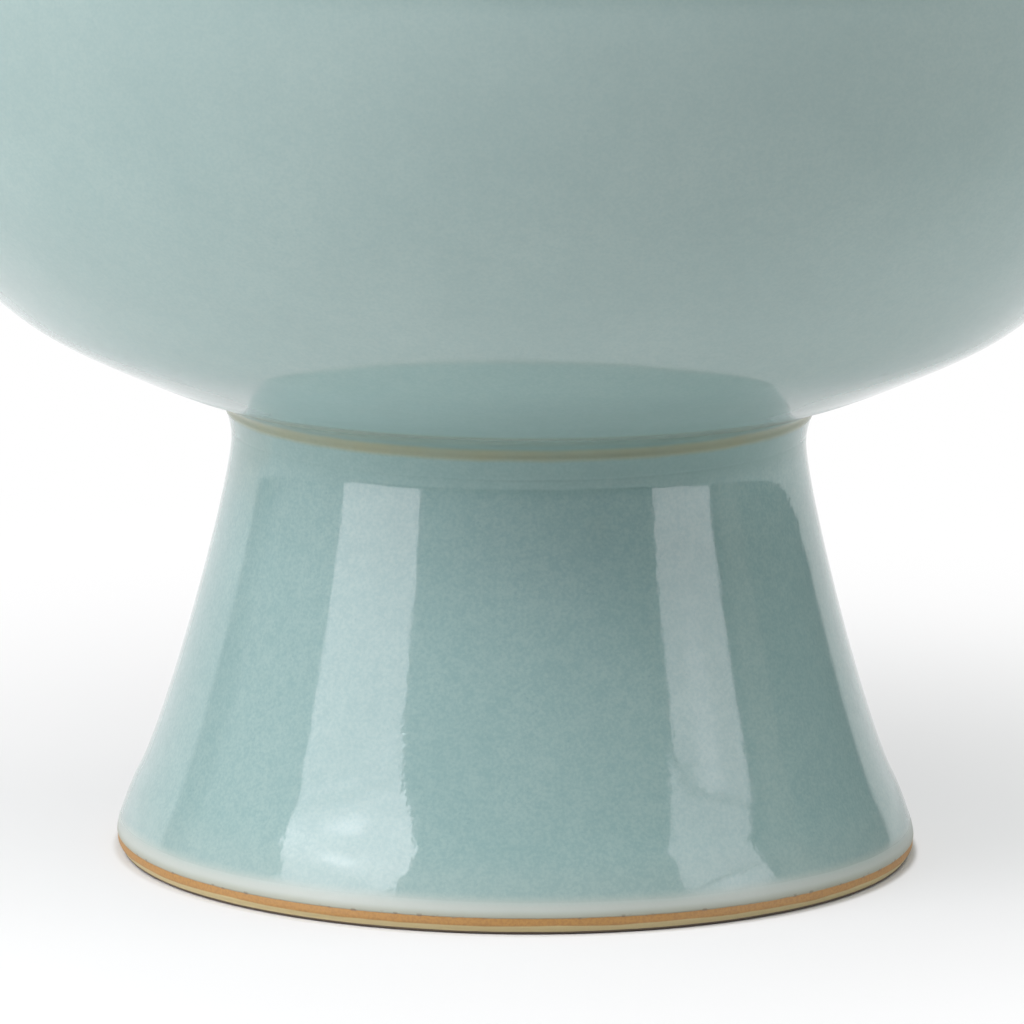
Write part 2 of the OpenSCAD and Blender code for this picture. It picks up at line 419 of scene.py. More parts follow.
def glaze_clouds():
    """Shared group: how a thick celadon glaze varies, in slow clouds, fine grain and bubbles."""
    tree = bpy.data.node_groups.new("glaze_clouds", "ShaderNodeTree")
    socket(tree, "Place", "Vector")
    socket(tree, "Seed", "Float", value=0.0)
    socket(tree, "Cloud size", "Float", value=0.018)
    socket(tree, "Grain size", "Float", value=0.0005)
    socket(tree, "Peel size", "Float", value=0.0009)
    socket(tree, "Peel height", "Float", value=0.0000012)
    given = tree.nodes.new("NodeGroupInput").outputs

    def noise(place, size, detail, roughness=0.5):
        return put(
            tree,
            "ShaderNodeTexNoise",
            {"noise_dimensions": "4D"},
            {"Vector": place, "W": given["Seed"], "Scale": sums(tree, "DIVIDE", 1.0, size),
             "Detail": detail, "Roughness": roughness},
        )

    cloud = noise(given["Place"], given["Cloud size"], 3.0, 0.5)
    fine = noise(given["Place"], given["Grain size"], 2.0, 0.6)
    coarse = noise(given["Place"], times(tree, given["Grain size"], 3.4), 2.0, 0.6)
    grain = sums(tree, "ADD", times(tree, fine, 0.65), times(tree, coarse, 0.35))
    bubble = put(
        tree,
        "ShaderNodeTexVoronoi",
        {"feature": "F1", "voronoi_dimensions": "3D"},
        {"Vector": given["Place"], "Scale": sums(tree, "DIVIDE", 0.62, given["Grain size"])},
    )
    gathered = noise(given["Place"], times(tree, given["Grain size"], 7.0), 1.0)
    speck = put(
        tree,
        "ShaderNodeMapRange",
        {"interpolation_type": "SMOOTHSTEP"},
        {
            "Value": sums(tree, "ADD", bubble, times(tree, gathered, 0.6)),
            "From Min": 0.30,
            "From Max": 0.43,
            "To Min": 1.0,
            "To Max": 0.0,
        },
    )
    waves = noise(given["Place"], given["Peel size"], 1.5)
    peel = times(tree, sums(tree, "ADD", waves, times(tree, grain, 0.10)), given["Peel height"])
    gives(tree, "Float", Cloud=cloud, Grain=grain, Specks=speck, Peel=peel)
    return tree


def wavering_edge():
    """Shared group: 0 below a level and 1 above it, with a soft edge that wavers round the vase."""
    tree = bpy.data.node_groups.new("wavering_edge", "ShaderNodeTree")
    socket(tree, "Place", "Vector")
    socket(tree, "Value", "Float")
    socket(tree, "Level", "Float")
    socket(tree, "Softness", "Float", value=0.0001)
    socket(tree, "Waver", "Float", value=0.0)
    socket(tree, "Waver size", "Float", value=0.01)
    given = tree.nodes.new("NodeGroupInput").outputs
    noise = put(
        tree,
        "ShaderNodeTexNoise",
        inputs={
            "Vector": given["Place"],
            "Scale": sums(tree, "DIVIDE", 1.0, given["Waver size"]),
            "Detail": 3.0,
        },
    )
    shift = times(tree, sums(tree, "SUBTRACT", noise, 0.5), given["Waver"])
    value = sums(tree, "ADD", given["Value"], shift)
    risen = put(
        tree,
        "ShaderNodeMapRange",
        {"interpolation_type": "SMOOTHSTEP"},
        {
            "Value": value,
            "From Min": sums(tree, "SUBTRACT", given["Level"], given["Softness"]),
            "From Max": sums(tree, "ADD", given["Level"], given["Softness"]),
        },
    )
    gives(tree, "Float", Above=risen)
    return tree


clouds_group = glaze_clouds()
edge_group = wavering_edge()

celadon = (0.262, 0.378, 0.366, 1)
celadon_deep = (0.185, 0.312, 0.306, 1)
celadon_pale = (0.318, 0.432, 0.412, 1)
celadon_speck = (0.12, 0.22, 0.22, 1)
glaze_break = (0.40, 0.295, 0.165, 1)
glaze_roughness = 0.06
roughness_spread = 0.024
glaze_index = 1.5
glaze_gloss = 0.5
glaze_peel = 0.0000022
ground_share = 0.8
grain_dark_share = 0.55
grain_pale_share = 0.2
speck_share = 0.2


def blended(tree, share, first, second):
    """A colour between two others."""
    mixed = tree.nodes.new("ShaderNodeMix")
    mixed.data_type = "RGBA"
    for name, value in (("Factor", share), ("A", first), ("B", second)):
        taken = [s for s in mixed.inputs if s.name == name and s.enabled][0]
        if isinstance(value, bpy.types.NodeSocket):
            tree.links.new(value, taken)
        else:
            taken.default_value = value
    return [s for s in mixed.outputs if s.enabled][0]


def above(tree, place, value, level, softness, waver=0.0, waver_size=0.01):
    """Share of the surface above a wavering level, from the shared group."""
    return put(
        tree,
        "ShaderNodeGroup",
        {"node_tree": edge_group},
        {"Place": place, "Value": value, "Level": level, "Softness": softness,
         "Waver": waver, "Waver size": waver_size},
    )


def below(tree, place, value, level, softness, waver=0.0, waver_size=0.01):
    """Share of the surface below a wavering level."""
    return sums(tree, "SUBTRACT", 1.0, above(tree, place, value, level, softness, waver, waver_size))


class Glaze:
    """A celadon finish in the making: its tree, and the sockets that the piece's own marks change."""

    def __init__(self, name, seed, grain=1.0, ground=celadon, peel=glaze_peel):
        self.material = bpy.data.materials.new(name)
        self.tree = tree = emptied(self.material)
        self.place = tree.nodes.new("ShaderNodeTexCoord").outputs["Object"]
        self.height = parts(tree, self.place)["Z"]
        self.across = parts(tree, self.place)["X"]
        self.crest = put(
            tree, "ShaderNodeAttribute", {"attribute_type": "GEOMETRY", "attribute_name": "crest"}
        ).node.outputs["Fac"]
        varied = put(
            tree,
            "ShaderNodeGroup",
            {"node_tree": clouds_group},
            {"Place": self.place, "Seed": seed, "Peel height": peel},
        ).node.outputs
        self.cloud = varied["Cloud"]
        deepness = above(tree, self.place, self.cloud, 0.5, 0.25)
        colour = blended(tree, deepness, celadon_pale, celadon_deep)
        colour = blended(tree, ground_share, colour, ground)
        dark = above(tree, self.place, varied["Grain"], 0.5, 0.16)
        lighter = blended(tree, grain_pale_share * grain, colour, celadon_pale)
        darkness = times(tree, dark, grain_dark_share * grain)
        colour = blended(tree, darkness, lighter, celadon_deep)
        specks = times(tree, varied["Specks"], speck_share * grain)
        self.colour = blended(tree, specks, colour, celadon_speck)
        spread = times(tree, varied["Grain"], roughness_spread)
        self.roughness = sums(tree, "ADD", glaze_roughness - roughness_spread / 2, spread)
        self.relief = varied["Peel"]
        self.gloss = glaze_gloss

    def above_z(self, height, fade, waver=0.0, waver_size=10.0):
        """Share of the surface above a height. All in millimetres."""
        return above(
            self.tree, self.place, self.height, height * MM, fade * MM, waver * MM, waver_size * MM
        )

    def below_z(self, height, fade, waver=0.0, waver_size=10.0):
        return sums(self.tree, "SUBTRACT", 1.0, self.above_z(height, fade, waver, waver_size))

    def band(self, low, high, fade, waver, waver_size):
        """Share of the surface between two heights."""
        lower = self.above_z(low, fade, waver, waver_size)
        return times(self.tree, lower, self.below_z(high, fade, waver, waver_size))

    def patches(self, scale):
        return put(
            self.tree, "ShaderNodeTexNoise",
            inputs={"Vector": self.place, "Scale": scale, "Detail": 3.0},
        )

    def roughen(self, share, amount):
        self.roughness = sums(self.tree, "ADD", self.roughness, times(self.tree, share, amount))

    def shine(self, share, amount):
        self.gloss = sums(self.tree, "ADD", self.gloss, times(self.tree, share, amount))

    def thin(self, share, colour=glaze_break):
        """Mixes a colour in: the body's colour where glaze has run thin, and painted shade where a
        shade colour is given.
        """
        self.colour = blended(self.tree, share, self.colour, colour)

    def break_on_crest(self, patch_scale, unevenness, level, fade, share):
        """The glaze breaks to the body's colour along a crest, in uneven patches."""
        tree = self.tree
        shift = times(tree, sums(tree, "SUBTRACT", self.patches(patch_scale), 0.5), unevenness)
        thinness = sums(tree, "ADD", self.crest, shift)
        self.thin(times(tree, above(tree, self.place, thinness, level, fade), share))

    def finish(self):
        """The finished material, with its one Principled surface."""
        tree = self.tree
        surface = tree.nodes.new("ShaderNodeBsdfPrincipled")
        surface.inputs["IOR"].default_value = glaze_index
        if isinstance(self.gloss, float):
            surface.inputs["Specular IOR Level"].default_value = self.gloss
        else:
            tree.links.new(self.gloss, surface.inputs["Specular IOR Level"])
        tree.links.new(self.colour, surface.inputs["Base Color"])
        tree.links.new(self.roughness, surface.inputs["Roughness"])
        bump = put(
            tree, "ShaderNodeBump", inputs={"Strength": 1.0, "Distance": 1.0, "Height": self.relief}
        )
        tree.links.new(bump, surface.inputs["Normal"])
        out = tree.nodes.new("ShaderNodeOutputMaterial")
        tree.links.new(surface.outputs["BSDF"], out.inputs["Surface"])
        return self.material


ochre_clay = (0.375, 0.192, 0.042, 1)
ochre_dark = (0.26, 0.122, 0.027, 1)
ochre_evenness = 0.55
cream_clay = (0.49, 0.405, 0.20, 1)
cream_z = 1.3
glaze_over_rim = (0.445, 0.475, 0.435, 1)
pale_band_z = 4.95
pale_band_fade = 1.2
pale_band_share = 0.88
pale_band_roughness = 0.34
pale_band_dullness = 0.3
near_rim_z = 9.5
near_rim_share = 0.12
# Thin glaze over the clay, darkened by painted shade above the glaze edge.
thin_glaze_and_shade_colour = (0.24, 0.235, 0.15, 1)
thin_and_shaded_z = 3.15
thin_and_shaded_share = 0.55
patchy_z = 57.0
patchy_share = 0.08
pit_colour = (0.16, 0.12, 0.08, 1)
pit_scale = 620.0
pit_share = 0.6
grit_scale = 2400.0
grit_relief = 0.00003
bare_roughness = 0.2
bare_gloss = 0.7
# Painted contact shadow: a near-black band along the foot's lowest edge.
contact_shadow_colour = (0.04, 0.02, 0.008, 1)
contact_shadow_z = 0.42
contact_shadow_share = 0.95
olive_break = (0.29, 0.262, 0.125, 1)
break_low_z = 66.25
break_high_z = 68.0
break_fade = 0.45
break_patches = 110.0
break_share = 0.34
break_patch_share = 0.42
foot_peel = 0.000016
# Painted shade: a deep celadon that darkens the corner under the belly, more on the +X side.
painted_shade_celadon = (0.13, 0.24, 0.222, 1)
corner_shade_low_z = 61.5
corner_shade_high_z = 70.0
corner_shade_fade = 2.2
corner_shade_share = 0.32
side_shade_share = 0.3
side_shade_fade = 35.0


def paint_shade_in_corner(glaze):
    """Painted shade: darkens the glaze in the corner under the belly, most on the +X side."""
    tree = glaze.tree
    corner = glaze.band(corner_shade_low_z, corner_shade_high_z, corner_shade_fade, 2.0, 20.0)
    shaded_side = above(tree, glaze.place, glaze.across, 0.0, side_shade_fade * MM)
    strength = sums(tree, "ADD", corner_shade_share, times(tree, shaded_side, side_shade_share))
    glaze.thin(times(tree, corner, strength), painted_shade_celadon)


def break_to_ochre(glaze):
    """The glaze runs off the bead and breaks to ochre, unevenly round the joint."""
    tree = glaze.tree
    over_bead = glaze.band(break_low_z, break_high_z, break_fade, 0.4, 6.0)
    uneven = times(tree, glaze.patches(break_patches), break_patch_share)
    glaze.thin(times(tree, over_bead, sums(tree, "ADD", break_share, uneven)), olive_break)


def foot_finish():
    """Celadon down to the glaze line, pale where it is thin on the rim, bare ochre clay below."""
    glaze = Glaze("celadon_on_foot", 3.1, peel=foot_peel)
    tree = glaze.tree
    place = glaze.place
    patchy = above(tree, place, glaze.cloud, 0.56, 0.05)
    near_top = glaze.above_z(patchy_z, 6.0, 6.0, 20.0)
    glaze.thin(times(tree, times(tree, patchy, near_top), patchy_share))
    near_rim = glaze.below_z(near_rim_z, 3.5, 1.0, 20.0)
    over_rim = glaze.below_z(pale_band_z, pale_band_fade, 0.6, 20.0)
    thin_and_shaded = glaze.below_z(thin_and_shaded_z, 0.6, 0.3, 6.0)
    glaze.thin(times(tree, near_rim, near_rim_share), glaze_over_rim)
    glaze.thin(times(tree, over_rim, pale_band_share), glaze_over_rim)
    # Thin glaze and painted shade just above the glaze line.
    glaze.thin(times(tree, thin_and_shaded, thin_and_shaded_share), thin_glaze_and_shade_colour)
    # Painted shade in the corner under the belly.
    paint_shade_in_corner(glaze)
    break_to_ochre(glaze)
    bare = glaze.below_z(glaze_line_z + 0.05, 0.04, 0.22, 1.6)
    lowest = glaze.below_z(cream_z, 0.1, 0.7, 12.0)
    grit = glaze.patches(grit_scale)
    clay = blended(tree, above(tree, place, grit, 0.52, 0.12), ochre_clay, ochre_dark)
    clay = blended(tree, ochre_evenness, clay, ochre_clay)
    clay = blended(tree, lowest, clay, cream_clay)
    glaze.colour = blended(tree, bare, glaze.colour, clay)
    pits = put(
        tree,
        "ShaderNodeTexVoronoi",
        {"feature": "F1"},
        {"Vector": place, "Scale": pit_scale, "Randomness": 1.0},
    )
    past_line = glaze.above_z(glaze_line_z + 0.3, 0.2)
    at_line = sums(tree, "SUBTRACT", glaze.above_z(glaze_line_z - 0.12, 0.1), past_line)
    pitted = times(tree, at_line, below(tree, place, pits, 0.27, 0.07))
    glaze.colour = blended(tree, times(tree, pitted, pit_share), glaze.colour, pit_colour)
    # Painted contact shadow along the lowest edge of the standing ring.
    contact_shadowed = glaze.below_z(contact_shadow_z, 0.08, 0.1, 10.0)
    glaze.colour = blended(tree, times(tree, contact_shadowed, contact_shadow_share), glaze.colour, contact_shadow_colour)
    glaze.roughen(over_rim, pale_band_roughness)
    glaze.roughen(bare, bare_roughness)
    glaze.shine(over_rim, -pale_band_dullness)
    glaze.shine(bare, bare_gloss)
    rough = times(tree, times(tree, grit, bare), grit_relief)
    glaze.relief = sums(tree, "ADD", glaze.relief, rough)
    return glaze.finish()


def foot_fingers(r, z, facing):
    """Rings are smoothed away outside and stay inside, and fade at both ends."""
    kept = 1.0 if facing[0] < 0 else 0.05
    return kept * eased(z, 6, 14) * (1 - eased(z, foot_waist_z - 10, foot_waist_z - 4))


foot = throw("foot_thrown", foot_outline, foot_finish(), foot_fingers, depth=0.25, seed=2.0)
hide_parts("foot")


# ==== Coil in the joint under the belly ====
# A thin coil of clay pressed round the joint between foot and belly and smoothed to a bead.
# The glaze runs off its crest, where it breaks to ochre, and painted shade darkens the crease above.

coil_low, coil_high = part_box("foot_joint_coil")
coil_top_z = coil_high.z / MM
boss_z = coil_low.z / MM
boss_r = 36.75
bead_blur = 0.14
bead_gloss = 0.3
bead_crest_r = 43.70
bead_crest_z = foot_top_z + 0.7
crease_r = 43.74
crease_z = coil_top_z - 1.1

belly_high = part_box("upper_belly")[1]
belly_r = belly_high.x / MM
belly_fullness = 2.3
belly_reach = 80.0


def oval_height(r, wide, high):
    """Height of the belly's oval above its widest place at radius r."""
    return high * (1 - (r / wide) ** belly_fullness) ** (1 / belly_fullness)


def oval(wide, high, start, end, steps):
    """Points along a quarter of the oval, as distances from its centre, between two angles."""
    points = []
    for i in range(steps + 1):
        angle = math.radians(start + (end - start) * i / steps)
        r = wide * max(0.0, math.cos(angle)) ** (2 / belly_fullness)
        h = high * max(0.0, math.sin(angle)) ** (2 / belly_fullness)
        points.append((r, h))
    return points


def oval_angle(r, wide):
    return math.degrees(math.acos((r / wide) ** (belly_fullness / 2)))


bead = joined(
    sweep(
        (seat_r, foot_top_z),
        (seat_r + 0.1, foot_top_z + 0.3),
        (bead_crest_r, bead_crest_z - 0.35),
        (bead_crest_r, bead_crest_z),
        14,
    ),
    sweep(
        (bead_crest_r, bead_crest_z),
        (bead_crest_r, bead_crest_z + 0.4),
        (crease_r, crease_z - 0.3),
        (crease_r, crease_z),
        14,
    ),
)
coil_outline = joined(
    bead,
    [(seat_r - 0.3, crease_z), (seat_r - 0.5, coil_top_z), (boss_r, coil_top_z),
     (boss_r, boss_z), (socket_r, boss_z), (socket_r, foot_top_z)],
)


def no_fingers(r, z, facing):
    return 0.0


bead_glaze = Glaze("glaze_thin_on_bead", 3.1)
bead_glaze.roughen(1.0, bead_blur)
bead_glaze.gloss = bead_gloss
# Painted shade in the crease over the bead.
paint_shade_in_corner(bead_glaze)
break_to_ochre(bead_glaze)
coil = throw("foot_joint_bead", coil_outline, bead_glaze.finish(), no_fingers)
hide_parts("foot_joint_coil")


# ==== Lower belly ====
# Lower half of the belly, a thrown bowl with a turned boss that sits in the foot and a
# domed, recessed base. It is glazed inside and out.

lower_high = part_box("lower_belly")[1]
lap_top_z = lower_high.z / MM
belly_wall = 4.6
belly_in_r = belly_r - belly_wall
belly_lap_r = belly_r - belly_wall / 2
belly_floor_z = coil_top_z + 5.5
base_r = boss_r - 5.0
base_recess = 4.0
dome_r = (base_r ** 2 + base_recess ** 2) / (2 * base_recess)
dome_top = boss_z + base_recess

belly_z = coil_top_z + oval_height(seat_r, belly_r, belly_reach)
ridge_r = 52.5
ridge_width = 0.9


def settled(r):
    """How much higher the fired underside lies than the drawn oval, at radius r."""
    rise = 0.7 * eased(r, 42, 66) - 0.25 * eased(r, 60, 72) + 1.4 * eased(r, 72, 87)
    return rise - 1.85 * eased(r, 90, 106)


underside = [
    (r, belly_z - h + settled(r))
    for r, h in oval(belly_r, belly_reach, oval_angle(ridge_r, belly_r), 0, 120)
]
ridge = underside[0]
lower_outside = joined(
    sweep(
        (crease_r, crease_z),
        (crease_r + 0.07, crease_z + 1.4),
        pulled(ridge, (-1.0, -0.25), 4.5),
        ridge,
        24,
    ),
    underside,
)
lower_inside = [(r, belly_z - h) for r, h in oval(belly_in_r, belly_z - belly_floor_z, 0, 90, 90)]
base_dome = rounding(
    (0, dome_top - dome_r), dome_r, 90, math.degrees(math.acos(base_r / dome_r)), 16
)
lower_outline = joined(
    lower_outside,
    [(belly_lap_r, belly_z), (belly_lap_r, lap_top_z), (belly_in_r, lap_top_z)],
    lower_inside,
    base_dome,
    [(boss_r, boss_z), (boss_r, coil_top_z), (seat_r - 0.5, coil_top_z), (seat_r - 0.3, crease_z)],
)


def ridge_crest(r, z):
    """1 on the turned edge of the underside, where the glaze is thin."""
    if z > ridge[1] + 5 or z < crease_z:
        return 0.0
    return math.exp(-(((r - ridge_r) / ridge_width) ** 2))


def belly_fingers(r, z, facing):
    """Faint rings outside, clear ones inside, none at the joints and on the base."""
    if z < coil_top_z - 0.01:
        return 0.0
    near_joint = 1 - eased(abs(z - belly_z), 2, 12)
    if facing[0] > 0 and r > seat_r - 1:
        return 0.04 * (1 - near_joint) * eased(z, coil_top_z + 2, coil_top_z + 10)
    return (1 - near_joint) * eased(r, 6, 20)


celadon_on_belly = (0.287, 0.39, 0.370, 1)
belly_grain = 0.45
belly_gloss = 0.84
# Painted shade: the top of the belly is darkened.
top_shade_celadon = (0.2, 0.262, 0.252, 1)
high_up_z = 118.0
high_up_shade_share = 0.22
# Painted shade on the underside and on the ground over the coil.
underneath_z = 104.0
underneath_shade_share = 0.06
underneath_gloss = 0.3
over_coil_z = 77.0
over_coil_shade_share = 0.12
in_crease_z = 73.0
root_z = 69.3
root_dullness = 0.9
ridge_share = 0.28


def belly_finish(name, seed):
    """Slightly greyer celadon, glossy underneath, dull and ochre at its root, with painted shade
    darkening its underside, its top and the ground over the coil.
    """
    glaze = Glaze(name, seed, grain=belly_grain, ground=celadon_on_belly)
    tree = glaze.tree
    underneath = glaze.below_z(underneath_z, 14.0)
    glaze.gloss = belly_gloss
    glaze.shine(underneath, underneath_gloss)
    glaze.shine(glaze.below_z(root_z, 0.6), -root_dullness)
    glaze.roughen(glaze.below_z(in_crease_z, 1.2), bead_blur)
    # Painted shade on the top of the belly.
    glaze.thin(times(tree, glaze.above_z(high_up_z, 16.0), high_up_shade_share), top_shade_celadon)
    # Painted shade on the underside and over the coil.
    glaze.thin(times(tree, underneath, underneath_shade_share), painted_shade_celadon)
    glaze.thin(times(tree, glaze.below_z(over_coil_z, 4.0), over_coil_shade_share), painted_shade_celadon)
    # Painted shade in the corner under the belly.
    paint_shade_in_corner(glaze)
    break_to_ochre(glaze)
    glaze.thin(times(tree, glaze.crest, ridge_share), olive_break)
    return glaze.finish()


lower_belly = throw(
    "lower_belly_thrown",
    lower_outline,
    belly_finish("celadon_on_lower_belly", 7.7),
    belly_fingers,
    ridge_crest,
    spacing=8.0,
    depth=0.35,
    seed=4.0,
)
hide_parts("lower_belly")


# ==== Slip in the belly's joint ====
# Liquid porcelain clay that lutes the two halves of the belly edge to edge. The glaze runs
# over it, so only a faint line shows round the widest place.

luting_line = (0.33, 0.44, 0.415, 1)
luting_share = 0.35
slip_clay = (0.66, 0.62, 0.53, 1)
slip_roughness = 0.5
slip_glazed = 0.2
slip_glazed_fade = 0.05


def slip_finish(name, seed, outer_r):
    """Celadon over the slip's outer edge, and pale, dull clay where it lies in the joint."""
    glaze = Glaze(name, seed)
    tree = glaze.tree
    flat = put(
        tree,
        "ShaderNodeVectorMath",
        {"operation": "MULTIPLY"},
        {0: glaze.place, 1: (1.0, 1.0, 0.0)},
    )
    level = (outer_r - slip_glazed) * MM
    glazed = above(tree, glaze.place, length_of(tree, flat), level, slip_glazed_fade * MM)
    glaze.thin(luting_share, luting_line)
    glaze.colour = blended(tree, glazed, slip_clay, glaze.colour)
    glaze.roughen(sums(tree, "SUBTRACT", 1.0, glazed), slip_roughness)
    return glaze.finish()


belly_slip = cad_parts["belly_joint_slip"]
belly_slip.data.materials.clear()
belly_slip.data.materials.append(slip_finish("slip_under_glaze_belly", 7.7, belly_r))


# ==== Upper belly ====
# Upper half of the belly, thrown as a bowl, turned over and luted on the lower half. It
# closes over a broad shoulder to the stepped seat of the neck.

slip = 0.5
lap = 3.0
belly_top_z = belly_z + slip
neck_root_r = 30.0
neck_wall = 4.2
neck_bore_r = neck_root_r - neck_wall
neck_lap_r = neck_root_r - neck_wall / 2
neck_root_z = belly_top_z + oval_height(neck_root_r, belly_r, belly_reach)
step_z = belly_top_z + lap
upper_inside_h = belly_reach - belly_wall - lap

upper_outside = [
    (r, belly_top_z + h)
    for r, h in oval(belly_r, belly_reach, 0, oval_angle(neck_root_r, belly_r), 120)
]
upper_inside = [
    (r, step_z + h)
    for r, h in oval(belly_in_r, upper_inside_h, oval_angle(neck_bore_r, belly_in_r), 0, 80)
]
upper_outline = joined(
    upper_outside,
    [(neck_lap_r, neck_root_z), (neck_lap_r, neck_root_z + lap), (neck_bore_r, neck_root_z + lap)],
    upper_inside,
    [(belly_lap_r + slip, step_z), (belly_lap_r + slip, belly_top_z)],
)


def upper_fingers(r, z, facing):
    """Faint rings outside, clear ones inside, none at the joints."""
    away = eased(z, step_z + 2, step_z + 12) * (1 - eased(z, neck_root_z - 8, neck_root_z - 2))
    inside = facing[1] < 0 or facing[0] < 0
    return away * (1.0 if inside else 0.04)


upper_belly = throw(
    "upper_belly_thrown",
    upper_outline,
    belly_finish("celadon_on_upper_belly", 7.7),
    upper_fingers,
    spacing=8.0,
    depth=0.35,
    seed=6.0,
)
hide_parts("upper_belly")


# ==== Slip in the neck's joint ====
# The same liquid clay lutes the neck to the shoulder, and shows as a faint line under the
# lowest bowstring.

neck_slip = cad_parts["neck_joint_slip"]
neck_slip.data.materials.clear()
neck_slip.data.materials.append(slip_finish("slip_under_glaze_neck", 7.7, neck_root_r))


# ==== Neck ====
# Waisted neck that opens into a trumpet mouth, thrown by itself and luted on the shoulder.
# Its lip is rolled outwards, and the glaze runs thin over it.

neck_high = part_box("neck")[1]
neck_top_z = neck_high.z / MM
mouth_r = neck_high.x / MM
neck_z = neck_root_z + slip
neck_waist_r = 24.0
neck_waist_rise = 44.0
mouth_turn = 34.0
lip_roll = 2.1
lip_centre = (mouth_r - lip_roll, neck_top_z - lip_roll)
under_lip = (
    lip_centre[0] + lip_roll * math.sin(math.radians(mouth_turn)),
    lip_centre[1] - lip_roll * math.cos(math.radians(mouth_turn)),
)
neck_root = (neck_root_r, neck_z)
neck_waist = (neck_waist_r, neck_z + neck_waist_rise)
lower_pull = neck_waist_rise / 3
upper_pull = (under_lip[1] - neck_waist[1]) * 0.62
mouth_pull = (mouth_r - neck_waist_r) * 0.6

neck_outside = joined(
    sweep(
        neck_root,
        (neck_root_r, neck_z + lower_pull),
        (neck_waist_r, neck_waist[1] - lower_pull * 1.3),
        neck_waist,
        60,
    ),
    sweep(
        neck_waist,
        (neck_waist_r, neck_waist[1] + upper_pull),
        (
            under_lip[0] - mouth_pull * math.cos(math.radians(mouth_turn)),
            under_lip[1] - mouth_pull * math.sin(math.radians(mouth_turn)),
        ),
        under_lip,
        72,
    ),
)
neck_inner = [p for p in wall_inside(neck_outside, neck_wall) if p[1] > neck_z + lap + 1]
rolled_lip = rounding(lip_centre, lip_roll, mouth_turn - 90, mouth_turn + 90, 20)
neck_outline = joined(
    neck_outside,
    rolled_lip,
    neck_inner[::-1],
    [(neck_bore_r, neck_z + lap), (neck_lap_r + slip, neck_z + lap), (neck_lap_r + slip, neck_z)],
)


def neck_fingers(r, z, facing):
    """Rings climb the inside of the neck, and are smoothed away near the mouth."""
    away = eased(z, neck_z + lap + 2, neck_z + lap + 10)
    away *= 1 - eased(z, neck_top_z - 14, neck_top_z - 5)
    return away * (1.0 if facing[0] < 0 else 0.08)


def lip_crest(r, z):
    """1 on top of the rolled lip."""
    return eased(z, neck_top_z - 1.6, neck_top_z - 0.1)


def neck_finish():
    """Celadon with a thin, ochre edge on the lip."""
    glaze = Glaze("celadon_on_neck", seed=7.7)
    glaze.break_on_crest(120.0, 0.4, 0.6, 0.4, 0.7)
    return glaze.finish()


neck = throw(
    "neck_thrown", neck_outline, neck_finish(), neck_fingers, lip_crest, spacing=5.5, depth=0.2,
    seed=8.0, steps=256,
)
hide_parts("neck")


# ==== Bowstrings ====
# Three thin strips of clay rolled out, pressed into scored grooves round the shoulder and
# neck and smoothed with a wet finger. The glaze breaks on their crests and pools beside them.

string_width = 2.6
string_stands = 1.1
skirt = 0.9
string_sunk = 0.25


def oval_tilt(r, wide, high):
    """Angle above horizontal at which the oval faces outwards at radius r."""
    up = (oval_height(r, wide, high) / high) ** (belly_fullness - 1) / high
    out = (r / wide) ** (belly_fullness - 1) / wide
    return math.degrees(math.atan2(up, out))


def radius_at(outline, height):
    """Radius of a rising outline at a height."""
    for low, high in zip(outline, outline[1:]):
        if low[1] <= height <= high[1]:
            share = (height - low[1]) / max(high[1] - low[1], 0.0001)
            return low[0] + (high[0] - low[0]) * share
    return outline[-1][0]


def string_outline(r, z, tilt):
    """Section of a bowstring on a wall: a round crest with a hollow skirt on both sides."""
    half = string_width / 2
    section = joined(
        [(-string_sunk, -half - skirt)],
        sweep(
            (0.0, -half - skirt),
            (0.0, -half - skirt * 0.2),
            (string_stands * 0.25, -half),
            (string_stands * 0.55, -half * 0.82),
            8,
        ),
        sweep(
            (string_stands * 0.55, -half * 0.82),
            (string_stands * 0.9, -half * 0.62),
            (string_stands, -half * 0.35),
            (string_stands, 0.0),
            8,
        ),
    )
    section = joined(section, [(out, -up) for out, up in section[::-1]])
    turn = math.radians(tilt)
    across = math.cos(turn)
    rise = math.sin(turn)
    return [(r + out * across - up * rise, z + out * rise + up * across) for out, up in section]


def string_finish(name, seed):
    """Celadon that breaks to ochre along the crest."""
    glaze = Glaze(name, seed)
    glaze.break_on_crest(70.0, 0.7, 0.62, 0.3, 0.62)
    return glaze.finish()


shoulder_string_r = 64.0
shoulder_string_z = belly_top_z + oval_height(shoulder_string_r, belly_r, belly_reach)
root_string_z = neck_z + string_width / 2 + slip
neck_string_z = neck_z + 30.0
bowstrings = (
    ("shoulder_bowstring", shoulder_string_r, shoulder_string_z,
     oval_tilt(shoulder_string_r, belly_r, belly_reach)),
    ("neck_root_bowstring", radius_at(neck_outside, root_string_z), root_string_z, 0.0),
    ("neck_bowstring", radius_at(neck_outside, neck_string_z), neck_string_z, 0.0),
)
for number, (node_name, string_r, string_z, string_tilt) in enumerate(bowstrings):
    turn = math.radians(string_tilt)

    def string_crest(r, z):
        """How far a point stands out of the wall, as a share of the string's height."""
        stands = (r - string_r) * math.cos(turn) + (z - string_z) * math.sin(turn)
        return min(1.0, max(0.0, stands / string_stands))

    string = throw(
        node_name + "_pressed",
        string_outline(string_r, string_z, string_tilt),
        string_finish("glaze_thin_on_" + node_name, 11.0 + number),
        no_fingers,
        string_crest,
        steps=288,
    )
    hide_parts(node_name)


# ==== Floor and backdrop ====
# A plain white table top under the vase. It keeps the vase's shadow, near the vase its paper is
# painted darker as shade, and far from the vase it is as white as the backdrop.

floor_reach = 1.2
floor_front = 0.3
floor_white = (0.94, 0.94, 0.94, 1)
